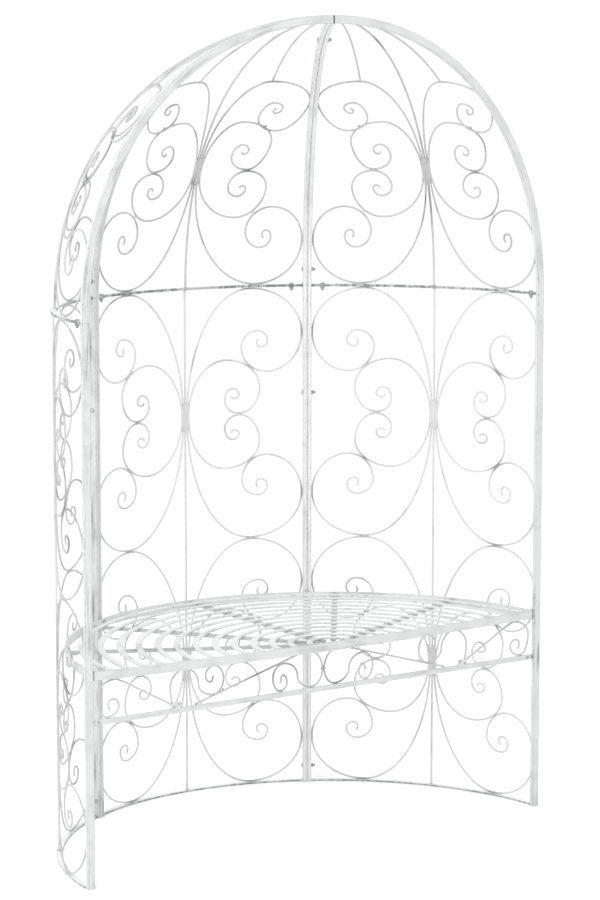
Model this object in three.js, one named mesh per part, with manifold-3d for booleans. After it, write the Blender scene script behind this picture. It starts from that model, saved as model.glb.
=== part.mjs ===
// Half-round garden pavilion: three bolted trellis panels, three dome gores
// and a half-moon bench, all welded up from painted steel bar, tube and rod.
// Millimetres, +Z up. The open front faces -Y.
import * as THREE from 'three';
import { mergeVertices } from 'three/addons/utils/BufferGeometryUtils.js';
import Module from 'manifold-3d';

const wasm = await Module();
wasm.setup();

// ---- driving dimensions -------------------------------------------------
const RADIUS = 600;                 // plan and dome radius, to the middle of the bars
const PANEL_COUNT = 3;
const PANEL_SPAN = THREE.MathUtils.degToRad(58.05);
const WALL_HEIGHT = 1198;           // top of the panels, where the dome stands
const DOME_RISE = 618;              // from there to the top of the dome
const DOME_FULLNESS = 2.1;          // 2 is an ellipse, more swells the shoulders
const GAP = 0.3;                    // air between two pieces that touch

const TUBE = { across: 10, deep: 18, wall: 1.2 };   // uprights and dome ribs
const RING = { wide: 12.5, thick: 3, radius: 602.7 };  // flat bars that close each panel
const ROD = 4.4;                                    // scroll rods
const ROD_RADIUS = 604;                             // wall rods stand a little outside the tubes' middle
const MID_ROD = 5;                                  // middle bar of each panel
const WELD = 0.5;                                   // how far welded rods sink into each other

const BOLT = { shank: 6, head: 11, headThick: 3, nut: 10, nutThick: 5, tail: 4 };
const HOLE = BOLT.shank + 2 * GAP;

const SEAT = { top: 466, slat: 15, slatThick: 3, pitch: 41.5, outer: 550, count: 13, ring: 585 };
const RAIL = { tall: 20, thick: 4, reach: 586, endY: 36, midY: 6 };
const SUPPORT = { wide: 12, tall: 7, angles: [26.3, 54.6, 90, 125.4, 153.7] };
const APRON = { y: 38, bottom: 349.5, tall: 12, thick: 4 };

const ARC_STEPS = 10;               // facets of a ring bar over one panel
const RIB_STEPS = 11;
const BIG_STEPS = [4, 3, 3, 2, 2, 2, 1, 1, 1];     // facets in each quarter of a scroll
const SMALL_STEPS = [3, 3, 2, 2, 2, 1, 1, 1];

// ---- paint --------------------------------------------------------------
const paint = () => new THREE.MeshStandardMaterial({ color: 0xe6e8e5, roughness: 0.55, metalness: 0.1 });
const zinc = () => new THREE.MeshStandardMaterial({ color: 0x9b9d9a, roughness: 0.4, metalness: 0.8 });

const part = new THREE.Group();

function place(name, geometry, material = paint()) {
  const mesh = new THREE.Mesh(geometry, material);
  mesh.name = name;
  part.add(mesh);
  return mesh;
}

// ---- solids: joining and cutting ----------------------------------------
function solid(geometry) {
  const bare = geometry.clone();
  bare.deleteAttribute('normal');
  bare.deleteAttribute('uv');
  const merged = mergeVertices(bare, 1e-4);
  return new wasm.Manifold(new wasm.Mesh({
    numProp: 3,
    vertProperties: new Float32Array(merged.attributes.position.array),
    triVerts: new Uint32Array(merged.index.array),
  }));
}

function geometryOf(manifold) {
  const mesh = manifold.getMesh();
  const geometry = new THREE.BufferGeometry();
  geometry.setAttribute('position', new THREE.BufferAttribute(new Float32Array(mesh.vertProperties), 3));
  geometry.setIndex(new THREE.BufferAttribute(new Uint32Array(mesh.triVerts), 1));
  geometry.computeVertexNormals();
  return geometry;
}

// join shapes that overlap, leaving out slivers too small to be metal
function joined(geometries) {
  const whole = geometries.map(solid).reduce((all, next) => all.add(next));
  return geometryOf(wasm.Manifold.compose(whole.decompose().filter((body) => Math.abs(body.volume()) > 1)));
}

const drilled = (geometry, drills) => (drills.length
  ? geometryOf(drills.reduce((rest, drill) => rest.subtract(solid(drill)), solid(geometry)))
  : geometry);

// ---- sweeps -------------------------------------------------------------
// A path given by its own points and by the direction the section's x axis keeps.
class BarPath extends THREE.Curve {
  constructor(points, sides) {
    super();
    this.points = points;
    this.sides = sides;
  }

  getPoint(t) {
    const place = t * (this.points.length - 1);
    const first = Math.min(Math.floor(place), this.points.length - 2);
    return this.points[first].clone().lerp(this.points[first + 1], place - first);
  }

  getSpacedPoints() {
    return this.points.map((point) => point.clone());
  }

  computeFrenetFrames() {
    const last = this.points.length - 1;
    const tangents = this.points.map((point, i) => new THREE.Vector3()
      .subVectors(this.points[Math.min(i + 1, last)], this.points[Math.max(i - 1, 0)]).normalize());
    const binormals = tangents.map((tangent, i) => new THREE.Vector3()
      .crossVectors(tangent, this.sides[i]).normalize());
    return { tangents, normals: this.sides, binormals };
  }
}

function sweep(section, points, sides) {
  return new THREE.ExtrudeGeometry(section, {
    steps: points.length - 1,
    extrudePath: new BarPath(points, sides),
    bevelEnabled: false,
  });
}

function rectangle(width, height) {
  const shape = new THREE.Shape();
  shape.moveTo(-width / 2, -height / 2);
  shape.lineTo(width / 2, -height / 2);
  shape.lineTo(width / 2, height / 2);
  shape.lineTo(-width / 2, height / 2);
  shape.closePath();
  return shape;
}

// the tube section: x is radial, y runs across
function tubeSection() {
  const shape = rectangle(TUBE.deep, TUBE.across);
  shape.holes.push(rectangle(TUBE.deep - 2 * TUBE.wall, TUBE.across - 2 * TUBE.wall));
  return shape;
}

// a flat bar bent round the Z axis, lying from bottom to bottom + tall
function bentBar(radius, radial, from, to, bottom, tall, steps) {
  const shape = new THREE.Shape();
  const step = (to - from) / steps;
  const corner = (r, i) => [r * Math.cos(from + i * step), r * Math.sin(from + i * step)];
  shape.moveTo(...corner(radius + radial / 2, 0));
  for (let i = 1; i <= steps; i += 1) shape.lineTo(...corner(radius + radial / 2, i));
  for (let i = steps; i >= 0; i -= 1) shape.lineTo(...corner(radius - radial / 2, i));
  shape.closePath();
  const bar = new THREE.ExtrudeGeometry(shape, { depth: tall, bevelEnabled: false });
  return bar.translate(0, 0, bottom);
}

// ---- the curved walls that scrollwork lies in ---------------------------
// Each takes (across, up) in mm from the middle of a panel's foot.
const onWall = (middle) => (across, up) => {
  const angle = middle + across / RADIUS;
  const out = new THREE.Vector3(Math.cos(angle), Math.sin(angle), 0);
  return { point: out.clone().multiplyScalar(ROD_RADIUS).setZ(up), out };
};

// how far the dome's surface lies from the middle of its foot, at a slope
function domeReach(rise) {
  const flat = Math.max(Math.cos(rise), 0) ** DOME_FULLNESS;
  const tall = Math.max(Math.sin(rise) * RADIUS / DOME_RISE, 0) ** DOME_FULLNESS;
  return RADIUS * (flat + tall) ** (-1 / DOME_FULLNESS);
}

// a spot on the dome's meridian: distance from the axis, height and outward slope
function domeSpot(rise) {
  const reach = domeReach(rise);
  const away = reach * Math.cos(rise);
  const high = reach * Math.sin(rise);
  const flat = (away / RADIUS) ** (DOME_FULLNESS - 1) / RADIUS;
  const tall = (high / DOME_RISE) ** (DOME_FULLNESS - 1) / DOME_RISE;
  const length = Math.hypot(flat, tall);
  return { away, high, outFlat: flat / length, outTall: tall / length };
}

const DOME_FOOT = WALL_HEIGHT + GAP;

const onDome = (middle) => (across, up) => {
  const { away, high, outFlat, outTall } = domeSpot(up / RADIUS);
  const angle = middle + across / away;
  return {
    point: new THREE.Vector3(away * Math.cos(angle), away * Math.sin(angle), DOME_FOOT + high),
    out: new THREE.Vector3(outFlat * Math.cos(angle), outFlat * Math.sin(angle), outTall),
  };
};

// the rise at which the dome's surface has come in to a given distance from its axis
function riseAt(away) {
  let low = 0;
  let high = Math.PI / 2;
  for (let i = 0; i < 40; i += 1) {
    const rise = (low + high) / 2;
    if (domeSpot(rise).away > away) low = rise;
    else high = rise;
  }
  return low;
}

const onApron = (across, up) => ({
  point: new THREE.Vector3(across, APRON.y, up),
  out: new THREE.Vector3(0, -1, 0),
});

// ---- scrolls ------------------------------------------------------------
// A scroll runs through turning points. Each quarter between two of them is
// a quarter of an ellipse, alternately leaving upright and leaving level.
function curl(turns, startsUpright, steps) {
  const points = [turns[0]];
  let upright = startsUpright;
  for (let i = 1; i < turns.length; i += 1) {
    const [x0, y0] = turns[i - 1];
    const [x1, y1] = turns[i];
    const count = steps[i - 1];
    for (let k = 1; k <= count; k += 1) {
      const a = (k / count) * Math.PI / 2;
      const far = 1 - Math.cos(a);
      const near = Math.sin(a);
      points.push(upright
        ? [x0 + (x1 - x0) * far, y0 + (y1 - y0) * near]
        : [x0 + (x1 - x0) * near, y0 + (y1 - y0) * far]);
    }
    upright = !upright;
  }
  return points;
}

function rod(outline, wall, size = ROD) {
  const spots = outline.map(([across, up]) => wall(across, up));
  return sweep(rectangle(size, size), spots.map((s) => s.point), spots.map((s) => s.out));
}

function weldBead(wall, across, up, size = ROD + 3) {
  const { point } = wall(across, up);
  return new THREE.OctahedronGeometry(size / 2).translate(point.x, point.y, point.z);
}

// One scroll unit: beside the middle rod a large C scroll and, outside it,
// a small C scroll. half = height of the unit from its middle to its top.
function scrollUnit(shape, wall, side, middle) {
  const put = (turns) => turns.map(([x, y]) => [side * x, middle + y]);
  const bigFrom = MID_ROD / 2 + GAP + ROD / 2;
  const smallFrom = bigFrom + ROD - WELD;
  const pieces = [];
  for (const [from, upper, lower, steps] of [[bigFrom, shape.bigUp, shape.bigDown, BIG_STEPS],
    [smallFrom, shape.smallUp, shape.smallDown, SMALL_STEPS]]) {
    const up = curl(put([[from, 0], ...upper]), true, steps);
    const down = curl(put([[from, 0], ...lower]), true, steps);
    pieces.push(rod([...down.reverse(), ...up.slice(1)], wall));
  }
  for (const [x, y] of shape.welds) pieces.push(weldBead(wall, side * x, middle + y));
  return pieces;
}

// how far across a rod may go before it meets the tube at its panel's edge,
// where the panel's curved face is a given distance from the axis
const rodLimit = (away) => away * PANEL_SPAN / 2 - TUBE.across - 1.5 * GAP - ROD / 2 - 0.1;
const rodLimitAt = (up) => rodLimit(domeSpot(up / RADIUS).away);

const PANEL_UNIT_HALF = (WALL_HEIGHT - 2 * RING.thick - 2 * GAP - ROD - (ROD - WELD)) / 4;
const PANEL_UNIT = {
  bigUp: [[168, PANEL_UNIT_HALF], [rodLimit(RADIUS), 191], [208, 99], [146, 158],
    [186, 196], [210, 172], [192, 157], [184, 168], [188, 175]],
  smallUp: [[106, 129], [191, 62], [140, 2], [104, 34], [124, 61], [140, 46], [127, 37], [120, 44]],
  smallDown: [[106, -128], [190, -65], [140, -2], [104, -34], [124, -60], [140, -46], [127, -38], [120, -45]],
  bigDown: [[168, -PANEL_UNIT_HALF], [rodLimit(RADIUS), -191], [205, -99], [147, -159],
    [186, -195], [209, -172], [191, -157], [182, -167], [187, -176]],
  welds: [[166, 112], [168, -110]],
};

const GORE_MIDDLE = 279;
const GORE_TOP = 252;
const GORE_FOOT = RING.thick + GAP + ROD / 2 - GORE_MIDDLE;
const GORE_UNIT = {
  bigUp: [[98, GORE_TOP], [rodLimitAt(GORE_MIDDLE + 171), 171], [167, 103], [112, 147],
    [134, 183], [160, 165], [148, 152], [141, 159], [146, 166]],
  smallUp: [[81, 128], [167, 65], [127, 2], [80, 39], [99, 66], [118, 51], [109, 41], [103, 47]],
  smallDown: [[119, -115], [184, -48], [128, -2], [89, -39], [116, -64], [134, -47], [125, -38], [119, -44]],
  bigDown: [[178, GORE_FOOT], [rodLimitAt(GORE_MIDDLE - 175), -175], [206, -91], [149, -147],
    [188, -188], [212, -164], [199, -147], [190, -156], [195, -165]],
  welds: [[139, 116], [161, -102]],
};

// ---- bolts --------------------------------------------------------------
// A cup-head bolt with its nut, along +Z, with its head's seat at z = 0 and
// grip mm of metal under it.
function bolt(grip) {
  const { shank, head, headThick, nut, nutThick, tail } = BOLT;
  const end = -grip - 2 * GAP;
  const profile = [
    [0, headThick], [head * 0.3, headThick * 0.8], [head / 2, GAP], [shank / 2, GAP],
    [shank / 2, end], [nut / 2, end], [nut / 2, end - nutThick],
    [shank / 2, end - nutThick], [shank / 2, end - nutThick - tail], [0, end - nutThick - tail],
  ].map(([x, y]) => new THREE.Vector2(x, y)).reverse();
  return new THREE.LatheGeometry(profile, 6).rotateX(Math.PI / 2);
}

const drill = (length) => new THREE.CylinderGeometry(HOLE / 2, HOLE / 2, length, 6).rotateX(Math.PI / 2);

// move something made along Z so that it runs along direction from point
function aim(geometry, point, direction) {
  const turn = new THREE.Quaternion().setFromUnitVectors(new THREE.Vector3(0, 0, 1), direction);
  return geometry.applyQuaternion(turn).translate(point.x, point.y, point.z);
}

// ---- layout -------------------------------------------------------------
const PANEL_NAMES = ['right', 'back', 'left'];
const firstEdge = Math.PI / 2 - PANEL_COUNT * PANEL_SPAN / 2;
const TUBE_SHIFT = TUBE.across / 2 + GAP / 2;        // tube middle, in from the panel's edge
const edgeAngle = (index) => firstEdge + index * PANEL_SPAN;

const radialAt = (angle) => new THREE.Vector3(Math.cos(angle), Math.sin(angle), 0);
const acrossAt = (angle) => new THREE.Vector3(-Math.sin(angle), Math.cos(angle), 0);

// seams between panels are bolted through both tubes at these heights
const WALL_BOLT_HEIGHTS = { lower: 38, upper: 944 };
const DOME_BOLT_RISE = THREE.MathUtils.degToRad(3.6);
const isSeam = (edge) => edge > 0 && edge < PANEL_COUNT;

function seamBoltSpot(edge, radius, height) {
  return radialAt(edgeAngle(edge)).multiplyScalar(radius).setZ(height);
}

// the bench's back ring is bolted to the back panel's uprights, right of the middle (+1) and left (-1)
function seatBoltLine(side) {
  const angle = edgeAngle(side > 0 ? 1 : 2);
  const out = radialAt(angle);
  const spot = acrossAt(angle).multiplyScalar(side * TUBE_SHIFT).setZ(SEAT.top - RAIL.tall / 2);
  return { out, spot };
}

function seatDrill(side) {
  const { out, spot } = seatBoltLine(side);
  return aim(drill(80), spot.addScaledVector(out, RADIUS - 10), out);
}

// ---- lower panels -------------------------------------------------------
const sideOf = (inward) => (inward > 0 ? 'first' : 'last');

function upright(panel, edge, inward) {
  const angle = edgeAngle(edge);
  const radial = radialAt(angle);
  const across = acrossAt(angle);
  const foot = radial.clone().multiplyScalar(RADIUS).addScaledVector(across, inward * TUBE_SHIFT);
  const points = [foot, foot.clone().setZ(WALL_HEIGHT)];
  const tube = sweep(tubeSection(), points, [radial, radial]);
  const drills = isSeam(edge)
    ? Object.values(WALL_BOLT_HEIGHTS).map((z) => aim(drill(60), seamBoltSpot(edge, RADIUS, z), across))
    : [];
  if (PANEL_NAMES[panel] === 'back') drills.push(seatDrill(inward));
  place(`${PANEL_NAMES[panel]}_panel_upright_${sideOf(inward)}`, drilled(tube, drills));
}

// ring bars run between the tubes and are welded to their sides
const RING_TRIM = (TUBE_SHIFT + TUBE.across / 2 + GAP) / (RING.radius - RING.wide / 2);
const RING_BOLT_OFFSET = 26 / RADIUS;

function ringBolts(panel) {
  return [edgeAngle(panel) + RING_TRIM + RING_BOLT_OFFSET, edgeAngle(panel + 1) - RING_TRIM - RING_BOLT_OFFSET];
}

function ringBar(name, panel, bottom, bolted) {
  const bar = bentBar(RING.radius, RING.wide, edgeAngle(panel) + RING_TRIM, edgeAngle(panel + 1) - RING_TRIM,
    bottom, RING.thick, ARC_STEPS);
  const drills = bolted
    ? ringBolts(panel).map((angle) => drill(30).translate(
      ...radialAt(angle).multiplyScalar(RING.radius).setZ(bottom).toArray()))
    : [];
  place(name, drilled(bar, drills));
}

function lowerPanel(panel) {
  const name = `${PANEL_NAMES[panel]}_panel`;
  const middle = (edgeAngle(panel) + edgeAngle(panel + 1)) / 2;
  const wall = onWall(middle);
  upright(panel, panel, 1);
  upright(panel, panel + 1, -1);
  ringBar(`${name}_base_ring_bar`, panel, 0, false);
  ringBar(`${name}_top_ring_bar`, panel, WALL_HEIGHT - RING.thick, true);
  const inside = [[0, RING.thick + GAP], [0, WALL_HEIGHT - RING.thick - GAP]];
  place(`${name}_middle_rod`, rod(inside, wall, MID_ROD));
  const low = RING.thick + GAP + ROD / 2 + PANEL_UNIT_HALF;
  const high = WALL_HEIGHT - low;
  for (const [word, side] of [['first', -1], ['last', 1]]) {
    place(`${name}_scrollwork_${word}`, joined([
      ...scrollUnit(PANEL_UNIT, wall, side, low),
      ...scrollUnit(PANEL_UNIT, wall, side, high),
      weldBead(wall, side * PANEL_UNIT.bigUp[0][0], WALL_HEIGHT / 2),
    ]));
  }
}

// ---- dome gores ---------------------------------------------------------
const FRONT_RIB_END = 1.8;          // how near the ribs come to the dome's axis
const SEAM_RIB_END = 19.5;
const MID_RIB_END = 29.5;
const STRUT_END = 60.5;

function rib(panel, edge, inward) {
  const angle = edgeAngle(edge);
  const radial = radialAt(angle);
  const across = acrossAt(angle);
  const reach = isSeam(edge) ? SEAM_RIB_END : FRONT_RIB_END;
  const last = riseAt(reach);
  const points = [];
  const sides = [];
  for (let i = 0; i <= RIB_STEPS; i += 1) {
    const { away, high, outFlat, outTall } = domeSpot(last * i / RIB_STEPS);
    sides.push(radial.clone().multiplyScalar(outFlat).setZ(outTall));
    points.push(radial.clone().multiplyScalar(away).addScaledVector(across, inward * TUBE_SHIFT)
      .setZ(DOME_FOOT + high));
  }
  const tube = sweep(tubeSection(), points, sides);
  const { away, high } = domeSpot(DOME_BOLT_RISE);
  const spot = seamBoltSpot(edge, away, DOME_FOOT + high);
  const drills = isSeam(edge) ? [aim(drill(60), spot, across)] : [];
  place(`${PANEL_NAMES[panel]}_gore_rib_${sideOf(inward)}`, drilled(tube, drills));
}

function domeGore(panel) {
  const name = `${PANEL_NAMES[panel]}_gore`;
  const middle = (edgeAngle(panel) + edgeAngle(panel + 1)) / 2;
  const wall = onDome(middle);
  rib(panel, panel, 1);
  rib(panel, panel + 1, -1);
  ringBar(`${name}_ring_bar`, panel, DOME_FOOT, true);
  const climb = (from, reach, steps) => {
    const to = RADIUS * riseAt(reach);
    return Array.from({ length: steps + 1 }, (_, i) => from + (to - from) * i / steps);
  };
  place(`${name}_middle_rod`, rod(climb(RING.thick + GAP, MID_RIB_END, RIB_STEPS).map((up) => [0, up]),
    wall, MID_ROD));
  const strutFoot = GORE_MIDDLE + GORE_TOP;
  const strutTurn = GORE_UNIT.bigUp[0][0] / domeSpot(strutFoot / RADIUS).away;
  for (const [word, side] of [['first', -1], ['last', 1]]) {
    const strut = climb(strutFoot, STRUT_END, 8)
      .map((up) => [side * strutTurn * domeSpot(up / RADIUS).away, up]);
    place(`${name}_scrollwork_${word}`, joined([
      ...scrollUnit(GORE_UNIT, wall, side, GORE_MIDDLE),
      rod(strut, wall),
    ]));
  }
}

// ---- bolts through seams and rings --------------------------------------
function seamBolts() {
  const grip = 2 * TUBE.across + GAP;
  for (let edge = 1; edge < PANEL_COUNT; edge += 1) {
    const across = acrossAt(edgeAngle(edge));
    const word = edge === 1 ? 'right' : 'left';
    const heads = Object.entries(WALL_BOLT_HEIGHTS).map(([level, z]) => [
      `${word}_seam_bolt_${level}`, seamBoltSpot(edge, RADIUS, z)]);
    const { away, high } = domeSpot(DOME_BOLT_RISE);
    heads.push([`${word}_seam_bolt_dome`, seamBoltSpot(edge, away, DOME_FOOT + high)]);
    for (const [name, spot] of heads) {
      spot.addScaledVector(across, grip / 2);
      place(name, aim(bolt(grip), spot, across), zinc());
    }
  }
}

function ringJointBolts() {
  const grip = 2 * RING.thick + GAP;
  for (let panel = 0; panel < PANEL_COUNT; panel += 1) {
    ringBolts(panel).forEach((angle, i) => {
      const spot = radialAt(angle).multiplyScalar(RING.radius).setZ(DOME_FOOT + RING.thick);
      place(`${PANEL_NAMES[panel]}_ring_bolt_${i === 0 ? 'first' : 'last'}`,
        bolt(grip).translate(spot.x, spot.y, spot.z), zinc());
    });
  }
}

// ---- bench --------------------------------------------------------------
const BOW = RAIL.endY - RAIL.midY;
const BOW_RADIUS = (RAIL.reach ** 2 + BOW ** 2) / (2 * BOW);
const railY = (x) => RAIL.midY + BOW_RADIUS - Math.sqrt(BOW_RADIUS ** 2 - x ** 2);

function frontRail() {
  const half = Math.asin(RAIL.reach / BOW_RADIUS);
  const bar = bentBar(BOW_RADIUS, RAIL.thick, -Math.PI / 2 - half, -Math.PI / 2 + half,
    SEAT.top - RAIL.tall, RAIL.tall, 12).translate(0, RAIL.midY + BOW_RADIUS, 0);
  place('seat_front_rail', bar);
}

// the angle at which a ring bar clears the back of the rail
const ringStart = (radius, wide) => Math.max(...[radius - wide / 2, radius + wide / 2]
  .map((r) => Math.asin((railY(r) + RAIL.thick / 2 + GAP) / r)));

function seatBackRing() {
  const start = ringStart(SEAT.ring, RAIL.thick);
  const ring = bentBar(SEAT.ring, RAIL.thick, start, Math.PI - start, SEAT.top - RAIL.tall, RAIL.tall, 30);
  place('seat_back_ring', drilled(ring, [-1, 1].map(seatDrill)));
}

// heads inside the ring, nuts outside the tubes
function seatBolts() {
  const from = SEAT.ring - RAIL.thick / 2 - 1;
  const grip = RADIUS + TUBE.deep / 2 - from;
  for (const side of [-1, 1]) {
    const { out, spot } = seatBoltLine(side);
    place(`${side > 0 ? 'right' : 'left'}_seat_bolt`,
      aim(bolt(grip), spot.addScaledVector(out, from), out.negate()), zinc());
  }
}

function seatSlats() {
  const bottom = SEAT.top - SEAT.slatThick;
  const bars = [];
  for (let i = 0; i < SEAT.count; i += 1) {
    const radius = SEAT.outer - i * SEAT.pitch;
    const start = ringStart(radius, SEAT.slat);
    bars.push(bentBar(radius, SEAT.slat, start, Math.PI - start, bottom, SEAT.slatThick,
      Math.max(8, Math.round(radius / 36))));
  }
  for (const degrees of SUPPORT.angles) {
    const inner = 36;
    const length = SEAT.ring - RAIL.thick / 2 - 1.5 - inner;
    bars.push(new THREE.BoxGeometry(length, SUPPORT.wide, SUPPORT.tall)
      .translate(inner + length / 2, 0, bottom - SUPPORT.tall / 2 + WELD)
      .rotateZ(THREE.MathUtils.degToRad(degrees)));
  }
  place('seat_slats', joined(bars));
}

function apronBar() {
  const length = 2 * RAIL.reach;
  place('apron_bottom_bar', new THREE.BoxGeometry(length, APRON.thick, APRON.tall)
    .translate(0, APRON.y, APRON.bottom + APRON.tall / 2));
}

// Each half is three rods. One makes the curl at the end and runs down to the
// foot, one makes an S from the foot, and one makes the curls at the middle and
// runs back up from the foot as a long brace.
function apronScrollwork(word, side) {
  const low = APRON.bottom + APRON.tall + GAP + ROD / 2;
  const high = SEAT.top - RAIL.tall - GAP - ROD / 2;
  const middle = ROD / 2 + GAP / 2;
  const put = (turns) => turns.map(([x, y]) => [side * x, y]);
  const end = [[383, low], [510, 434], ...curl([[531, high], [577, 413], [554, low], [525, 386],
    [539, 401], [551, 393], [546, 380]], false, [3, 4, 3, 2, 2, 1])];
  const ess = curl([[384, low], [397, 407], [361, high], [326, 406], [288, 379], [262, 410],
    [286, high - 2], [308, 423], [296, 407], [289, 420]], false, [3, 3, 2, 3, 3, 3, 2, 2, 1]);
  const centre = [...curl([[114, 382], [107, 399], [97, 380], [115, low], [134, 394], [105, 424],
    [69, 392], [31, low], [middle, 400], [40, high]], true, [1, 2, 2, 3, 3, 3, 3, 3, 3]), [58, high - 1],
  [332, low]];
  place(`apron_scrollwork_${word}`, joined([end, ess, centre].map((outline) => rod(put(outline), onApron))));
}

for (let panel = 0; panel < PANEL_COUNT; panel += 1) {
  lowerPanel(panel);
  domeGore(panel);
}
seamBolts();
ringJointBolts();
frontRail();
seatBackRing();
seatBolts();
seatSlats();
apronBar();
apronScrollwork('right', 1);
apronScrollwork('left', -1);

// the origin is under the middle of the whole object's box
const box = new THREE.Box3().setFromObject(part);
part.position.y = -(box.min.y + box.max.y) / 2;

export default part;
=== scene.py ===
"""Half-round garden pavilion with scrollwork panels, a domed roof and a slatted bench.

Every piece is made by its own operator, in metres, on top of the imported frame.
"""

import math

import bpy
import numpy as np
from mathutils import Matrix, Vector, noise


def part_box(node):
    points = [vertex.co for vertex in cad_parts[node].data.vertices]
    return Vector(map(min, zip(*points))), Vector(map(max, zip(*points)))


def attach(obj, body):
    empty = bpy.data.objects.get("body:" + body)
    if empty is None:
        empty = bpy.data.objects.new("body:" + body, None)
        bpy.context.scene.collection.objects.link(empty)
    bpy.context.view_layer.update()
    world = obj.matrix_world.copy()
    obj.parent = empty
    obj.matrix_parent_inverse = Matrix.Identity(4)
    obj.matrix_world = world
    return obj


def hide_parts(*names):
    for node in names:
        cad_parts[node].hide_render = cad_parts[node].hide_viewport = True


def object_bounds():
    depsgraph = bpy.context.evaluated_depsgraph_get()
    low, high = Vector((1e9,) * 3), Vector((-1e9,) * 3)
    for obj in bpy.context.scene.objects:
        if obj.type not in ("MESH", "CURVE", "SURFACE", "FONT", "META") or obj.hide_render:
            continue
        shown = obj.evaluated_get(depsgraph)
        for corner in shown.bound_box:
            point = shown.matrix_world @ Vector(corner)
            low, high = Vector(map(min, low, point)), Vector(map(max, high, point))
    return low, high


bl_info = {
    "name": "Scrollwork garden pavilion",
    "version": (1, 0, 0),
    "blender": (4, 5, 0),
    "location": "3D View > Sidebar > Pavilion",
    "description": "Builds the painted steel pavilion, its bench and its bolts on the packed frame",
    "category": "Object",
}

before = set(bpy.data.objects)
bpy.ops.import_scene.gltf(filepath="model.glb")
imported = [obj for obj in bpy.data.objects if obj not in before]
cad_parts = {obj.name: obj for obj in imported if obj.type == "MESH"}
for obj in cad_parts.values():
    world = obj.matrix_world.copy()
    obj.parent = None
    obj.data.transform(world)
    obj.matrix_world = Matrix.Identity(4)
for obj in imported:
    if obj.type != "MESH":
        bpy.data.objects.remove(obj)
CAD_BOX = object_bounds()
BACK_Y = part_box("back_panel_base_ring_bar")[1].y
ROOT = "root"
UP = Vector((0, 0, 1))
SIDES = (("first", -1), ("last", 1))
PANELS = ("right", "back", "left")


# ---- sizes and colours a user would change -------------------------------------
def length(name, description, default):
    return bpy.props.FloatProperty(name=name, description=description, default=default, unit="LENGTH")


def tone(name, description, default):
    return bpy.props.FloatVectorProperty(
        name=name, description=description, default=default, subtype="COLOR", size=3, min=0, max=1)


class PavilionSizes(bpy.types.PropertyGroup):
    radius: length("Plan radius", "From the middle of the plan to the middle of the bars", 0.600)
    panel_span: bpy.props.FloatProperty(
        name="Panel span", description="Angle that each of the three panels takes up",
        default=math.radians(58.05), subtype="ANGLE")
    wall_height: length("Wall height", "Top of the panels, where the dome stands", 1.198)
    dome_rise: length("Dome rise", "From the top of the panels to the crown", 0.618)
    dome_fullness: bpy.props.FloatProperty(
        name="Dome fullness", description="2 is an ellipse, more swells the shoulders", default=2.1)
    tube_across: length("Tube width", "Width of uprights and ribs along the wall", 0.010)
    tube_deep: length("Tube depth", "Depth of uprights and ribs through the wall", 0.018)
    rod: length("Scroll rod", "Diameter of the bent rods", 0.0044)
    middle_rod: length("Middle rod", "Diameter of the bar up the middle of each panel", 0.0050)
    seat_top: length("Seat height", "Top of the slats", 0.466)
    slat_wide: length("Slat width", "Width of each bent slat", 0.015)


class PavilionFinish(bpy.types.PropertyGroup):
    frame_paint: tone("Frame paint", "Aged white of tubes, bars and slats", (0.615, 0.628, 0.62))
    rod_paint: tone("Rod paint", "Thinner, greyer coat on the scroll rods", (0.64, 0.645, 0.64))
    # the rubbed grey is also the colour that corners and the creases between tubes are darkened toward, as painted
    # shade
    rubbed: tone("Rubbed paint", "Grey showing where the white has worn thin", (0.21, 0.22, 0.22))
    bare: tone("Bare metal", "Dark steel in chips and at welds", (0.055, 0.055, 0.052))
    zinc: tone("Bolt zinc", "Dull plating of bolts and nuts", (0.46, 0.47, 0.465))
    floor: tone("Floor", "Plain pale floor", (0.97, 0.97, 0.97))


def sizes():
    return bpy.context.scene.pavilion_sizes


def finish_colours():
    return bpy.context.scene.pavilion_finish


GAP = 0.0003              # air between two pieces that touch
WELD = 0.0005             # how far welded rods sink into each other
TUBE_CORNER = 0.0016
RING_WIDE, RING_THICK, RING_RADIUS = 0.0125, 0.003, 0.6027
ROD_RADIUS = 0.604        # wall rods stand a little outside the tubes' middle
CENTRE_Y = BACK_Y - RING_RADIUS - RING_WIDE / 2
# how near to the dome's axis each kind of bar comes
FRONT_RIB_END, SEAM_RIB_END, MIDDLE_ROD_END, STRUT_END = 0.0018, 0.0195, 0.0295, 0.0605
RAIL_TALL, RAIL_THICK = 0.020, 0.004
RAIL_REACH, RAIL_END_Y, RAIL_MIDDLE_Y = 0.586, 0.036, 0.006
SEAT_RING_RADIUS = 0.585
SLAT_COUNT, SLAT_OUTER, SLAT_PITCH, SLAT_THICK = 13, 0.550, 0.0415, 0.003
BEARER_ANGLES = (26.3, 54.6, 90, 125.4, 153.7)
BEARER_START, BEARER_END = 0.036, 0.5815
APRON_Y, APRON_BOTTOM, APRON_TALL = 0.038, 0.3495, 0.012
SEAM_BOLT_HEIGHTS = (("lower", 0.038), ("upper", 0.944))
DOME_BOLT_RISE, CROWN_BOLT_RISE = math.radians(3.6), math.radians(67.5)
RING_BOLT_OFFSET = 0.026


# ---- plan: angles, walls and dome ----------------------------------------------
def first_edge():
    return math.pi / 2 - 1.5 * sizes().panel_span


def edge_angle(index):
    return first_edge() + index * sizes().panel_span


def tube_shift():
    return sizes().tube_across / 2 + GAP / 2


def radial_at(angle):
    return Vector((math.cos(angle), math.sin(angle), 0))


def across_at(angle):
    return Vector((-math.sin(angle), math.cos(angle), 0))


def placed(point):
    """From plan coordinates, whose axis is the pavilion's own, to the row frame."""
    return Vector((point.x, point.y + CENTRE_Y, point.z))


def at_height(spot, height):
    """A place over a spot of the plan."""
    return placed(Vector((spot.x, spot.y, height)))


def spread(low, high, steps):
    return [low + (high - low) * i / steps for i in range(steps + 1)]


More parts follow.
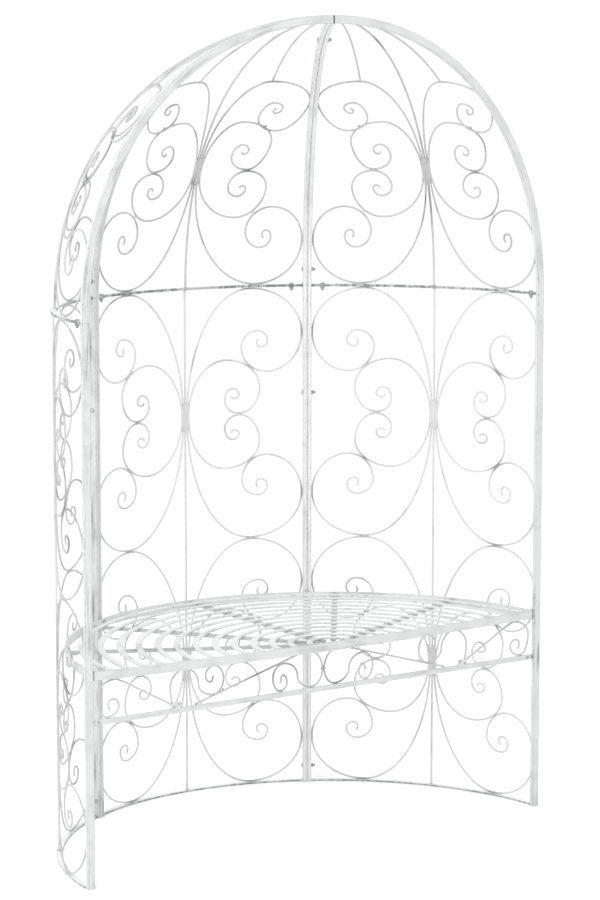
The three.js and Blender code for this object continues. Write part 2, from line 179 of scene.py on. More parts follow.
def on_wall(middle):
    r = sizes().radius

    def spot(across, up):
        out = radial_at(middle + across / r)
        return placed(Vector((out.x * ROD_RADIUS, out.y * ROD_RADIUS, up))), out
    return spot


def dome_spot(rise):
    s = sizes()
    flat = max(math.cos(rise), 0) ** s.dome_fullness
    tall = max(math.sin(rise) * s.radius / s.dome_rise, 0) ** s.dome_fullness
    reach = s.radius * (flat + tall) ** (-1 / s.dome_fullness)
    away, high = reach * math.cos(rise), reach * math.sin(rise)
    a = (away / s.radius) ** (s.dome_fullness - 1) / s.radius
    b = (high / s.dome_rise) ** (s.dome_fullness - 1) / s.dome_rise
    size = math.hypot(a, b)
    return away, high, a / size, b / size


def rise_at(away):
    low, high = 0.0, math.pi / 2
    for _ in range(40):
        rise = (low + high) / 2
        if dome_spot(rise)[0] > away:
            low = rise
        else:
            high = rise
    return low


def dome_foot():
    return sizes().wall_height + GAP


def on_dome(middle):
    r = sizes().radius

    def spot(across, up):
        away, high, flat, tall = dome_spot(up / r)
        angle = middle + across / away
        point = Vector((away * math.cos(angle), away * math.sin(angle), dome_foot() + high))
        return placed(point), Vector((flat * math.cos(angle), flat * math.sin(angle), tall))
    return spot


def on_apron(across, up):
    return placed(Vector((across, APRON_Y, up))), Vector((0, -1, 0))


# ---- mesh making -----------------------------------------------------------------
class Metalwork:
    """Collects swept bars, beads and turned parts into one mesh.

    The corner mask is 1 on corners and bead tops, where paint wears first; darkening there is partly rubbed paint and
    partly painted shade along corners and in creases. lay holds where a spot is across and along its bar, which brush
    strokes follow.
    """

    def __init__(self):
        self.verts, self.faces, self.rub, self.weld, self.lay = [], [], [], [], []

    def add(self, point, lay, rub, weld=0.0):
        self.verts.append(point)
        self.lay.append(lay)
        self.rub.append(rub)
        self.weld.append(weld)

    def sweep(self, points, sides, ups, profile, weld=None):
        """profile is a list of (x, y, corner mask) round the section. sides and ups are a direction
        for each point, or one direction for them all."""
        sides, ups = ([way] * len(points) if isinstance(way, Vector) else way for way in (sides, ups))
        start, count, along = len(self.verts), len(profile), points[0].length * 3.7
        for i, (point, side, up) in enumerate(zip(points, sides, ups)):
            along += (point - points[max(i - 1, 0)]).length
            for x, y, rub in profile:
                lay = (x + points[0].x, y + points[0].z, along)
                self.add(point + side * x + up * y, lay, rub, weld[i] if weld else 0.0)
        rings = len(points)
        for i in range(rings - 1):
            a, b = start + i * count, start + (i + 1) * count
            for k in range(count):
                j = (k + 1) % count
                self.faces.append((a + k, a + j, b + j, b + k))
        self.faces.append(tuple(start + k for k in reversed(range(count))))
        self.faces.append(tuple(start + (rings - 1) * count + k for k in range(count)))

    def bead(self, point, size, seed, flat=None):
        """A small lumpy weld: an irregular drop of metal."""
        start = len(self.verts)
        rings, around = 5, 8
        turn = UP.rotation_difference(flat.normalized()).to_matrix() if flat else Matrix.Identity(3)
        stretch = 0.72 if flat else 1.0
        for i in range(rings + 1):
            polar = math.pi * i / rings
            for k in range(1 if i in (0, rings) else around):
                turned = 2 * math.pi * k / around
                ray = Vector((math.sin(polar) * math.cos(turned), math.sin(polar) * math.sin(turned),
                              math.cos(polar) * stretch))
                lump = 1 + 0.22 * noise.noise(ray * 1.7 + Vector((seed * 3.1, seed * 1.7, seed)))
                spot = point + turn @ (ray * size / 2 * lump)
                self.add(spot, spot, 0.5, 1.0)
        top = start
        ring = [start + 1 + around * i for i in range(rings - 1)]
        bottom = start + 1 + around * (rings - 1)
        for k in range(around):
            j = (k + 1) % around
            self.faces.append((top, ring[0] + k, ring[0] + j))
            for i in range(rings - 2):
                self.faces.append((ring[i] + k, ring[i + 1] + k, ring[i + 1] + j, ring[i] + j))
            self.faces.append((ring[-1] + j, ring[-1] + k, bottom))

    def turned(self, outline, origin, axis, segments=24, phase=0.0):
        """outline is a list of (radius, height, corner mask) from top to bottom, closed on the axis."""
        turn = UP.rotation_difference(axis.normalized()).to_matrix()
        rings = []
        for radius, height, rub in outline:
            rings.append([])
            for k in range(segments if radius else 1):
                a = phase + 2 * math.pi * k / segments
                spot = origin + turn @ Vector((radius * math.cos(a), radius * math.sin(a), height))
                rings[-1].append(len(self.verts))
                self.add(spot, spot, rub)
        for upper, lower in zip(rings, rings[1:]):
            for k in range(segments):
                j = (k + 1) % segments
                if len(upper) == 1:
                    self.faces.append((upper[0], lower[k], lower[j]))
                elif len(lower) == 1:
                    self.faces.append((upper[j], upper[k], lower[0]))
                else:
                    self.faces.append((upper[j], upper[k], lower[k], lower[j]))

    def piece(self, name, material, replaced=()):
        mesh = bpy.data.meshes.new(name)
        mesh.from_pydata([tuple(v) for v in self.verts], [], self.faces)
        for label, values in (("rub", self.rub), ("weld", self.weld)):
            data = mesh.attributes.new(label, "FLOAT", "POINT")
            data.data.foreach_set("value", np.array(values, np.float32))
        lay = mesh.attributes.new("lay", "FLOAT_VECTOR", "POINT")
        lay.data.foreach_set("vector", np.array([tuple(v) for v in self.lay], np.float32).ravel())
        mesh.validate()
        mesh.materials.append(material)
        mesh.shade_smooth()
        mesh.set_sharp_from_angle(angle=math.radians(38))
        obj = bpy.data.objects.new(name, mesh)
        bpy.context.scene.collection.objects.link(obj)
        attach(obj, ROOT)
        if replaced:
            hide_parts(*replaced)
        return obj


def round_profile(diameter, count=10):
    turns = [2 * math.pi * k / count for k in range(count)]
    return [(diameter / 2 * math.cos(a), diameter / 2 * math.sin(a), 0.35) for a in turns]


def box_profile(wide, tall, corner, lip=0.0006, arcs=3, rubbed_ends=False):
    """A rectangle with rounded corners; the corner mask is 1 on the corners and 0 just inside them.

    The last option also gives the narrow faces at both ends of its width a 1, so they are darkened as painted shade.
    """
    spots = []
    for sx, sy, start in ((1, 1, 0), (-1, 1, 90), (-1, -1, 180), (1, -1, 270)):
        cx, cy = sx * (wide / 2 - corner), sy * (tall / 2 - corner)
        arc = []
        for i in range(arcs + 1):
            a = math.radians(start + 90 * i / arcs)
            arc.append((cx + corner * math.cos(a), cy + corner * math.sin(a), 1.0))
        before = math.radians(start - 90)
        after = math.radians(start + 180)
        spots.append((arc[0][0] + lip * math.cos(before), arc[0][1] + lip * math.sin(before), 0.0))
        spots.extend(arc)
        spots.append((arc[-1][0] + lip * math.cos(after), arc[-1][1] + lip * math.sin(after), 0.0))
    if rubbed_ends:
        spots = [(x, y, 1.0 if abs(x) > wide / 2 - corner else rub) for x, y, rub in spots]
    return spots


def rod_path(outline, wall, lift=0.0):
    """Points, outward directions and directions along the wall for a rod in a wall."""
    spots = [wall(x, y) for x, y in outline]
    points = [p + out * lift for p, out in spots]
    outs = [out for _, out in spots]
    last = len(points) - 1
    sides = []
    for i, out in enumerate(outs):
        along = (points[min(i + 1, last)] - points[max(i - 1, 0)]).normalized()
        sides.append(along.cross(out).normalized())
    return points, outs, sides


def curl(turns, starts_upright, step=0.0032):
    """Quarter ellipses through turning points, alternately leaving upright and level."""
    points = [turns[0]]
    upright = starts_upright
    for (x0, y0), (x1, y1) in zip(turns, turns[1:]):
        count = min(max(4, int(math.hypot(x1 - x0, y1 - y0) / step)), 34)
        for k in range(1, count + 1):
            a = k / count * math.pi / 2
            far, near = 1 - math.cos(a), math.sin(a)
            if upright:
                points.append((x0 + (x1 - x0) * far, y0 + (y1 - y0) * near))
            else:
                points.append((x0 + (x1 - x0) * near, y0 + (y1 - y0) * far))
        upright = not upright
    return points


def near(outline, spots, reach):
    """How close each point of a rod comes to a weld, from 0 to 1."""
    return [max([math.exp(-((x - a) ** 2 + (y - b) ** 2) / reach ** 2) for a, b in spots], default=0)
            for x, y in outline]


def millimetres(turns):
    return [(x / 1000, y / 1000) for x, y in turns]


# ---- scroll units -----------------------------------------------------------------
# all in millimetres. Two units, the ring bars and the rods at their ends fill the wall's height
UNIT_HALF = (1198 - 6 - 0.6 - 4.4 - 3.9) / 4
WALL_LIMIT = 291.2
PANEL_UNIT = {
    "big_up": [(168, UNIT_HALF), (WALL_LIMIT, 191), (208, 99), (146, 158), (186, 196), (210, 172), (192, 157),
               (184, 168), (188, 175)],
    "small_up": [(106, 129), (191, 62), (140, 2), (104, 34), (124, 61), (140, 46), (127, 37), (120, 44)],
    "small_down": [(106, -128), (190, -65), (140, -2), (104, -34), (124, -60), (140, -46), (127, -38), (120, -45)],
    "big_down": [(168, -UNIT_HALF), (WALL_LIMIT, -191), (205, -99), (147, -159), (186, -195), (209, -172),
                 (191, -157), (182, -167), (187, -176)],
    "welds": [(167, 111), (168, -110), (140, 0)],
}
GORE_MIDDLE, GORE_TOP = 279, 252
GORE_UNIT = {
    "big_up": [(98, 252), (216.3, 171), (167, 103), (112, 147), (134, 183), (160, 165), (148, 152), (141, 159),
               (146, 166)],
    "small_up": [(81, 128), (167, 65), (127, 2), (80, 39), (99, 66), (118, 51), (109, 41), (103, 47)],
    "small_down": [(119, -115), (184, -48), (128, -2), (89, -39), (116, -64), (134, -47), (125, -38), (119, -44)],
    "big_down": [(178, 5.5 - 279), (287, -175), (206, -91), (149, -147), (188, -188), (212, -164), (199, -147),
                 (190, -156), (195, -165)],
    "welds": [(139, 116), (161, -102), (127, 0)],
}


def add_scroll_unit(work, shape, wall, side, middle, seed):
    s = sizes()
    profile = round_profile(s.rod)
    big_from = (s.middle_rod / 2 + GAP + s.rod / 2) * 1000
    small_from = big_from + (s.rod - WELD) * 1000

    def put(turns):
        return millimetres([(side * x, middle + y) for x, y in turns])

    for start, upper, lower in ((big_from, "big_up", "big_down"), (small_from, "small_up", "small_down")):
        up = curl(put([(start, 0), *shape[upper]]), True)
        down = curl(put([(start, 0), *shape[lower]]), True)
        outline = list(reversed(down)) + up[1:]
        points, outs, sides = rod_path(outline, wall)
        spots = put([*shape["welds"], *shape["big_up"][:2], *shape["big_down"][:2]])
        work.sweep(points, outs, sides, profile, near(outline, spots, 0.026))
    for i, (x, y) in enumerate(shape["welds"]):
        point, out = wall(side * x / 1000, (middle + y) / 1000)
        work.bead(point, 0.0062, seed + i * 0.37, out)
    # the five rods at the unit's waist are run together by a long weld on the inside and the outside
    for across in (0.0024, 0.0070):
        for lift in (-0.0012, 0.0012):
            outline = [(side * across, (middle - 34 + 68 * i / 16) / 1000) for i in range(17)]
            points, outs, sides = rod_path(outline, wall, lift)
            points = [p + out * (0.0003 * noise.noise(Vector((seed, i * 0.9, lift * 500))))
                      for i, (p, out) in enumerate(zip(points, outs))]
            work.sweep(points, outs, sides, round_profile(0.0030, 8), [0.12] * len(points))


# ---- materials ----------------------------------------------------------------------
def new_group(name, inputs, outputs):
    group = bpy.data.node_groups.new(name, "ShaderNodeTree")
    for label, kind, value in inputs:
        socket = group.interface.new_socket(name=label, in_out="INPUT", socket_type=kind)
        socket.default_value = value
    for label, kind in outputs:
        group.interface.new_socket(name=label, in_out="OUTPUT", socket_type=kind)
    return group, group.nodes.new("NodeGroupInput"), group.nodes.new("NodeGroupOutput")


def node(tree, kind, settings=None, **values):
    made = tree.nodes.new(kind)
    for key, value in (settings or {}).items():
        setattr(made, key, value)
    for key, value in values.items():
        made.inputs[key].default_value = value
    return made


def math_node(tree, operation, a, b=None, clamp=False):
    made = tree.nodes.new("ShaderNodeMath")
    made.operation = operation
    made.use_clamp = clamp
    for socket, value in zip(made.inputs, (a, b)):
        if value is None:
            continue
        if isinstance(value, (int, float)):
            socket.default_value = value
        else:
            tree.links.new(value, socket)
    return made.outputs[0]


def colour_mix(tree, factor, a, b):
    made = tree.nodes.new("ShaderNodeMix")
    made.data_type = "RGBA"
    for name, value in (("Factor_Float", factor), ("A_Color", a), ("B_Color", b)):
        socket = next(k for k in made.inputs if k.identifier == name)
        if isinstance(value, (int, float, tuple)):
            socket.default_value = value
        else:
            tree.links.new(value, socket)
    return next(k for k in made.outputs if k.identifier == "Result_Color")


def ramp(tree, value, low, high):
    made = tree.nodes.new("ShaderNodeMapRange")
    made.inputs["From Min"].default_value = low
    made.inputs["From Max"].default_value = high
    tree.links.new(value, made.inputs["Value"])
    return made.outputs["Result"]


def worn_and_shaded_paint_group():
    """Brushed white paint: soft mottling, corners darkened as rubbed paint and as painted shade, chips and dark weld
    heat.
    """
    name = "worn_and_shaded_white_paint"
    if name in bpy.data.node_groups:
        return bpy.data.node_groups[name]
    group, inp, out = new_group(
        name,
        [("Paint", "NodeSocketColor", (0.8, 0.8, 0.8, 1)), ("Rubbed and shade grey", "NodeSocketColor", (0.3, 0.3, 0.3, 1)),
         ("Bare", "NodeSocketColor", (0.05, 0.05, 0.05, 1)), ("Corner wear and shade", "NodeSocketFloat", 0.5),
         ("Chips", "NodeSocketFloat", 0.5), ("Brush", "NodeSocketFloat", 0.5)],
        [("Color", "NodeSocketColor"), ("Roughness", "NodeSocketFloat"), ("Height", "NodeSocketFloat")])
    links = group.links
    place = group.nodes.new("ShaderNodeTexCoord").outputs["Object"]
    lay = node(group, "ShaderNodeAttribute", {"attribute_name": "lay"}).outputs["Vector"]

    def texture(scale, detail, rough=0.6, stretch=None):
        source = place
        if stretch:
            mapping = group.nodes.new("ShaderNodeMapping")
            mapping.inputs["Scale"].default_value = stretch
            links.new(lay, mapping.inputs["Vector"])
            source = mapping.outputs["Vector"]
        made = node(group, "ShaderNodeTexNoise", None, Scale=scale, Detail=detail, Roughness=rough)
        links.new(source, made.inputs["Vector"])
        return made.outputs["Fac"]

    mottle = texture(14, 5)
    streak = texture(150, 4, 0.65, (1, 1, 0.055))
    grain = texture(620, 3)
    chip = texture(105, 4, 0.72)
    patch = texture(9, 2)
    edge = node(group, "ShaderNodeAttribute", {"attribute_name": "rub"}).outputs["Fac"]
    weld = node(group, "ShaderNodeAttribute", {"attribute_name": "weld"}).outputs["Fac"]

    # corners darken where the noise is high, more in some patches than in others: rubbed paint, and painted shade
    # along corners and in the creases between tubes
    broken = math_node(group, "MULTIPLY", ramp(group, chip, 0.42, 0.66), ramp(group, patch, 0.34, 0.60))
    broken = math_node(group, "ADD", math_node(group, "MULTIPLY", broken, 0.75), 0.20)
    rub = math_node(group, "MULTIPLY", math_node(group, "MULTIPLY", edge, broken), inp.outputs["Corner wear and shade"], True)
    soft = math_node(group, "MULTIPLY", ramp(group, mottle, 0.47, 0.70), 0.26)
    brushed = math_node(group, "MULTIPLY", ramp(group, streak, 0.50, 0.68), ramp(group, patch, 0.42, 0.66))
    brushed = math_node(group, "MULTIPLY", brushed, inp.outputs["Brush"])
    joint = math_node(group, "MULTIPLY", weld, math_node(group, "MULTIPLY", ramp(group, patch, 0.38, 0.60), 0.8))
    # the grey amount: worn-thin paint, plus the corner darkening that is partly painted shade
    thin = math_node(group, "MAXIMUM", rub, math_node(group, "ADD", soft, brushed), True)
    thin = math_node(group, "MAXIMUM", thin, joint, True)
    heat = math_node(group, "MULTIPLY", weld, ramp(group, chip, 0.46, 0.66), True)
    spots = math_node(group, "MULTIPLY", ramp(group, chip, 0.705, 0.73), ramp(group, patch, 0.44, 0.56))
    spots = math_node(group, "MULTIPLY", spots, inp.outputs["Chips"], True)
    dark = math_node(group, "MAXIMUM", spots, math_node(group, "MULTIPLY", heat, 0.35), True)

    base = colour_mix(group, thin, inp.outputs["Paint"], inp.outputs["Rubbed and shade grey"])
    links.new(colour_mix(group, dark, base, inp.outputs["Bare"]), out.inputs["Color"])
    rough = math_node(group, "ADD", ramp(group, grain, -0.6, 2.2), math_node(group, "MULTIPLY", thin, 0.12))
    links.new(math_node(group, "SUBTRACT", rough, math_node(group, "MULTIPLY", dark, 0.1), True),
              out.inputs["Roughness"])
    raised = math_node(group, "ADD", math_node(group, "MULTIPLY", grain, 0.25),
                       math_node(group, "MULTIPLY", streak, 0.35))
    links.new(math_node(group, "SUBTRACT", raised, math_node(group, "MULTIPLY", dark, 0.6)), out.inputs["Height"])
    return group


def worn_material(name, paint, rubbed, bare, corner_wear_and_shade, chips, brush, metallic=0.0, coat=0.06, bump=0.12,
                  distance=0.0004):
    if name in bpy.data.materials:
        return bpy.data.materials[name]
    material = bpy.data.materials.new(name)
    material.use_nodes = True
    tree = material.node_tree
    shader = tree.nodes["Principled BSDF"]
    shader.inputs["Metallic"].default_value = metallic
    if coat:
        shader.inputs["Coat Weight"].default_value = coat
        shader.inputs["Coat Roughness"].default_value = 0.35
    worn = tree.nodes.new("ShaderNodeGroup")
    worn.node_tree = worn_and_shaded_paint_group()
    for label, value in (("Paint", (*paint, 1)), ("Rubbed and shade grey", (*rubbed, 1)), ("Bare", (*bare, 1)),
                         ("Corner wear and shade", corner_wear_and_shade), ("Chips", chips), ("Brush", brush)):
        worn.inputs[label].default_value = value
    relief = node(tree, "ShaderNodeBump", None, Strength=bump, Distance=distance)
    tree.links.new(worn.outputs["Color"], shader.inputs["Base Color"])
    tree.links.new(worn.outputs["Roughness"], shader.inputs["Roughness"])
    tree.links.new(worn.outputs["Height"], relief.inputs["Height"])
    tree.links.new(relief.outputs["Normal"], shader.inputs["Normal"])
    return material


def painted(name, paint, corner_wear_and_shade, chips, brush):
    colours = finish_colours()
    return worn_material(name, paint, colours.rubbed, colours.bare, corner_wear_and_shade, chips, brush)


def bolt_zinc():
    zinc = finish_colours().zinc
    return worn_material("bolt_zinc", zinc, [c * 0.5 for c in zinc], (0.02, 0.019, 0.018), 0.9, 1.0, 0.8,
                         metallic=0.55, coat=0, bump=0.2, distance=0.0003)


def tube_paint():
    return painted("tube_paint", finish_colours().frame_paint, 0.75, 0.8, 0.8)


def seam_paint_lit():
    # the seam tubes take the frame paint lightened: painted light, so these tubes read brighter than the same tubes
    # elsewhere
    return painted("seam_tube_painted_light", [min(1, c * 1.13) for c in finish_colours().frame_paint], 0.55, 0.7, 0.5)


def bar_paint():
    return painted("flat_bar_paint", finish_colours().frame_paint, 0.7, 0.6, 0.4)


def ring_paint_lit_and_shaded():
    # the ring bars' paint is lightened as painted light on their tops, and their inner and outer faces are darkened
    # hard toward grey as painted shade
    return painted("ring_bar_painted_light_and_shade", [min(1, c * 1.3) for c in finish_colours().frame_paint], 2.2, 0.4, 0.3)


def bearer_painted_shade():
    # the bearers' paint is the rod paint darkened: painted shade for the shadow they sit in under the slats
    return painted("bearer_painted_shade", [c * 0.72 for c in finish_colours().rod_paint], 0.8, 0.8, 1.0)


def slat_paint():
    return painted("slat_paint", [min(1, c * 1.13) for c in finish_colours().frame_paint], 1.1, 1.0, 0.7)


def rod_paint():
    return painted("rod_paint", finish_colours().rod_paint, 0.6, 0.3, 0.9)


def dome_rod_paint():
    return painted("dome_rod_paint", [c * 0.84 for c in finish_colours().rod_paint], 1.0, 0.6, 1.8)


def floor_material():
    material = bpy.data.materials.new("pale_floor")
    material.use_nodes = True
    tree = material.node_tree
    shader = tree.nodes["Principled BSDF"]
    place = tree.nodes.new("ShaderNodeTexCoord").outputs["Object"]
    clouds = node(tree, "ShaderNodeTexNoise", None, Scale=1.2, Detail=3)
    tree.links.new(place, clouds.inputs["Vector"])
    pale = finish_colours().floor
    tree.links.new(colour_mix(tree, clouds.outputs["Fac"], (*pale, 1), (*[min(1, c * 1.02) for c in pale], 1)),
                   shader.inputs["Base Color"])
    shader.inputs["Roughness"].default_value = 0.9
    shader.inputs["Specular IOR Level"].default_value = 0.1
    return material


# ---- operators: one for each kind of piece --------------------------------------------
class PieceOperator:
    bl_options = {"REGISTER", "UNDO"}

    def execute(self, context):
        self.build()
        return {"FINISHED"}


def tube_places():
    """Each tube's panel, its word in names, which way it lies from its edge, that edge and its directions."""
    for panel, name in enumerate(PANELS):
        for word, inward in (("first", 1), ("last", -1)):
            edge = panel + (0 if inward > 0 else 1)
            yield name, word, inward, edge, radial_at(edge_angle(edge)), across_at(edge_angle(edge))


class PAVILION_OT_uprights(PieceOperator, bpy.types.Operator):
    """Six rectangular tubes, two at each seam and one at each end of the wall"""

    bl_idname = "pavilion.uprights"
    bl_label = "Uprights"

    def build(self):
        s = sizes()
        profile = box_profile(s.tube_deep, s.tube_across, TUBE_CORNER)
        for name, word, inward, edge, radial, across in tube_places():
            foot = radial * s.radius + across * (inward * tube_shift())
            work = Metalwork()
            points = [at_height(foot, height) for height in spread(0, s.wall_height, 24)]
            work.sweep(points, radial, across, profile)
            paint = seam_paint_lit() if edge == 1 else tube_paint()
            work.piece(f"{name}_tube_{word}", paint, [f"{name}_panel_upright_{word}"])


class PAVILION_OT_ribs(PieceOperator, bpy.types.Operator):
    """Six bent tubes that carry the dome"""

    bl_idname = "pavilion.ribs"
    bl_label = "Dome ribs"

    def build(self):
        s = sizes()
        profile = box_profile(s.tube_deep, s.tube_across, TUBE_CORNER)
        for name, word, inward, edge, radial, across in tube_places():
            last = rise_at(SEAM_RIB_END if 0 < edge < 3 else FRONT_RIB_END)
            points, sides = [], []
            for rise in spread(0, last, 64):
                away, high, flat, tall = dome_spot(rise)
                spot = radial * away + across * (inward * tube_shift())
                points.append(at_height(spot, dome_foot() + high))
                sides.append(Vector((radial.x * flat, radial.y * flat, tall)))
            work = Metalwork()
            work.sweep(points, sides, across, profile)
            paint = seam_paint_lit() if edge == 1 else tube_paint()
            work.piece(f"{name}_rib_{word}", paint, [f"{name}_gore_rib_{word}"])


def arc_points(radius, start, end, height, steps, centre_y=0.0):
    points, outs = [], []
    for i in range(steps + 1):
        out = radial_at(start + (end - start) * i / steps)
        points.append(placed(Vector((out.x * radius, out.y * radius + centre_y, height))))
        outs.append(out)
    return points, outs


class PAVILION_OT_plugs(PieceOperator, bpy.types.Operator):
    """Dark plugs that close the front ribs' ends where they meet at the crown"""

    bl_idname = "pavilion.plugs"
    bl_label = "Crown plugs"

    def build(self):
        s = sizes()
        for word, edge, inward in (("right", 0, 1), ("left", 3, -1)):
            radial, across = radial_at(edge_angle(edge)), across_at(edge_angle(edge))
            work = Metalwork()
            points, sides = [], []
            for away in (0.0026, 0.0018, 0.0009, 0.0004):
                reach, high, flat, tall = dome_spot(rise_at(away))
                foot = radial * reach + across * (inward * tube_shift())
                points.append(at_height(foot, dome_foot() + high - 0.0002))
                sides.append(Vector((radial.x * flat, radial.y * flat, tall)))
            work.sweep(points, sides, across, box_profile(s.tube_deep - 0.0008, s.tube_across - 0.0008, 0.0012))
            black = painted("plug_black", (0.02, 0.02, 0.02), 0.2, 0.2, 0.2)
            work.piece(f"{word}_rib_plug", black)


class PAVILION_OT_ring_bars(PieceOperator, bpy.types.Operator):
    """Nine flat bars bent round the plan: at the ground, at the top of the wall and under the dome"""

    bl_idname = "pavilion.ring_bars"
    bl_label = "Ring bars"

    def build(self):
        s = sizes()
        trim = (tube_shift() + s.tube_across / 2) / RING_RADIUS
        # the last argument darkens the bars' inner and outer faces: painted shade
        profile = box_profile(RING_WIDE, RING_THICK, 0.0006, 0.0005, 2, True)
        levels = (("base_ring", "panel_base_ring_bar", 0.0),
                  ("top_ring", "panel_top_ring_bar", s.wall_height - RING_THICK),
                  ("dome_ring", "gore_ring_bar", dome_foot()))
        for panel, name in enumerate(PANELS):
            for label, cad, bottom in levels:
                points, outs = arc_points(RING_RADIUS, edge_angle(panel) + trim, edge_angle(panel + 1) - trim,
                                          bottom + RING_THICK / 2, 40)
                work = Metalwork()
                work.sweep(points, outs, UP, profile)
                work.piece(f"{name}_{label}", ring_paint_lit_and_shaded(), [f"{name}_{cad}"])


class PAVILION_OT_middle_rods(PieceOperator, bpy.types.Operator):
    """A straight rod up the middle of each panel and a bent one up each gore"""

    bl_idname = "pavilion.middle_rods"
    bl_label = "Middle rods"

    def build(self):
        s = sizes()
        profile = round_profile(s.middle_rod, 12)
        for panel, name in enumerate(PANELS):
            middle = edge_angle(panel) + s.panel_span / 2
            work = Metalwork()
            heights = spread(RING_THICK, s.wall_height - RING_THICK, 30)
            points, outs, sides = rod_path([(0, up) for up in heights], on_wall(middle))
            work.sweep(points, outs, sides, profile)
            work.piece(f"{name}_wall_rod", rod_paint(), [f"{name}_panel_middle_rod"])
            work = Metalwork()
            heights = spread(RING_THICK, s.radius * rise_at(MIDDLE_ROD_END), 60)
            points, outs, sides = rod_path([(0, up) for up in heights], on_dome(middle))
            work.sweep(points, outs, sides, profile)
            work.piece(f"{name}_dome_rod", dome_rod_paint(), [f"{name}_gore_middle_rod"])


class PAVILION_OT_wall_scrolls(PieceOperator, bpy.types.Operator):
    """Two stacked units of C scrolls on each side of each panel's middle rod"""

    bl_idname = "pavilion.wall_scrolls"
    bl_label = "Wall scrolls"

    def build(self):
        s = sizes()
        low = (RING_THICK + GAP + s.rod / 2) * 1000 + UNIT_HALF
        high = s.wall_height * 1000 - low
        for panel, name in enumerate(PANELS):
            wall = on_wall(edge_angle(panel) + s.panel_span / 2)
            for word, side in SIDES:
                work = Metalwork()
                for level, middle in enumerate((low, high)):
                    add_scroll_unit(work, PANEL_UNIT, wall, side, middle, panel * 5 + level * 2 + side)
                point, out = wall(side * 0.168, s.wall_height / 2)
                work.bead(point, 0.0075, panel + 11, out)
                for x, y in ((0.168, RING_THICK + 0.0012), (0.168, s.wall_height - RING_THICK - 0.0012)):
                    point, out = wall(side * x, y)
                    work.bead(point, 0.0078, panel * 2 + y, out)
                for middle in (low, high):
                    for up in (191, -191):
                        point, out = wall(side * (WALL_LIMIT / 1000 + s.rod / 2), (middle + up) / 1000)
                        work.bead(point, 0.0062, panel * 3 + up, out)
                paint = dome_rod_paint() if name == "left" else rod_paint()
                work.piece(f"{name}_wall_scrolls_{word}", paint, [f"{name}_panel_scrollwork_{word}"])


class PAVILION_OT_dome_scrolls(PieceOperator, bpy.types.Operator):
    """One unit of C scrolls on each side of each gore, tied to the crown by a strut"""

    bl_idname = "pavilion.dome_scrolls"
    bl_label = "Dome scrolls"

    def build(self):
        s = sizes()
        foot = GORE_MIDDLE + GORE_TOP
        turn = 0.098 / dome_spot(foot / 1000 / s.radius)[0]
        end = s.radius * rise_at(STRUT_END)
        for panel, name in enumerate(PANELS):
            wall = on_dome(edge_angle(panel) + s.panel_span / 2)
            for word, side in SIDES:
                work = Metalwork()
                add_scroll_unit(work, GORE_UNIT, wall, side, GORE_MIDDLE, panel * 7 + side)
                outline = [(side * turn * dome_spot(up / s.radius)[0], up) for up in spread(foot / 1000, end, 24)]
                points, outs, sides = rod_path(outline, wall)
                work.sweep(points, outs, sides, round_profile(s.rod))
                for x, up in ((0.098, foot / 1000), (0.178, RING_THICK + 0.0012), (0.2163 + s.rod / 2, 0.450),
                              (0.287 + s.rod / 2, 0.104)):
                    point, out = wall(side * x, up)
                    work.bead(point, 0.0066, panel + x * 40, out)
                work.piece(f"{name}_dome_scrolls_{word}", dome_rod_paint(),
                           [f"{name}_gore_scrollwork_{word}"])


def rail_bow():
    bow = RAIL_END_Y - RAIL_MIDDLE_Y
    return (RAIL_REACH ** 2 + bow ** 2) / (2 * bow)


def rail_y(x):
    return RAIL_MIDDLE_Y + rail_bow() - math.sqrt(rail_bow() ** 2 - x ** 2)


def ring_start(radius, wide):
    edges = (radius - wide / 2, radius + wide / 2)
    return max(math.asin((rail_y(r) + RAIL_THICK / 2 + 0.0001) / r) for r in edges)


class PAVILION_OT_bench(PieceOperator, bpy.types.Operator):
    """The bowed front rail, the ring behind the slats and the slats on their five bearers"""

    bl_idname = "pavilion.bench"
    bl_label = "Bench"

    def build(self):
        s = sizes()
        middle = s.seat_top - RAIL_TALL / 2
        profile = box_profile(RAIL_THICK, RAIL_TALL, 0.0008, 0.0006, 2)
        half = math.asin(RAIL_REACH / rail_bow())
        points, outs = arc_points(rail_bow(), -math.pi / 2 - half, -math.pi / 2 + half, middle, 60,
                                  RAIL_MIDDLE_Y + rail_bow())
        work = Metalwork()
        work.sweep(points, outs, UP, profile)
        work.piece("front_rail", bar_paint(), ["seat_front_rail"])

        start = ring_start(SEAT_RING_RADIUS, RAIL_THICK)
        points, outs = arc_points(SEAT_RING_RADIUS, start, math.pi - start, middle, 120)
        work = Metalwork()
        work.sweep(points, outs, UP, profile)
        work.piece("back_ring", bar_paint(), ["seat_back_ring"])

        work = Metalwork()
        slat = box_profile(s.slat_wide, SLAT_THICK, 0.0007, 0.0006, 2)
        for i in range(SLAT_COUNT):
            radius = SLAT_OUTER - i * SLAT_PITCH
            start = ring_start(radius, s.slat_wide)
            points, outs = arc_points(radius, start, math.pi - start, s.seat_top - SLAT_THICK / 2,
                                      max(24, int(radius * 200)))
            work.sweep(points, outs, UP, slat)
        work.piece("seat_slatting", slat_paint(), ["seat_slats"])
        work = Metalwork()
        bearer = box_profile(0.012, 0.007, 0.0010, 0.0006, 2)
        for degrees in BEARER_ANGLES:
            angle = math.radians(degrees)
            out, across = radial_at(angle), across_at(angle)
            points = [at_height(out * r, s.seat_top - 0.0063) for r in spread(BEARER_START, BEARER_END, 20)]
            work.sweep(points, across, UP, bearer)
            for i in range(SLAT_COUNT):
                radius = SLAT_OUTER - i * SLAT_PITCH
                for sign in (-1, 1):
                    spot = out * radius + across * (sign * 0.0062)
                    work.bead(at_height(spot, s.seat_top - 0.0035), 0.0040, i * 0.7 + sign)
        work.piece("seat_bearers", bearer_painted_shade())


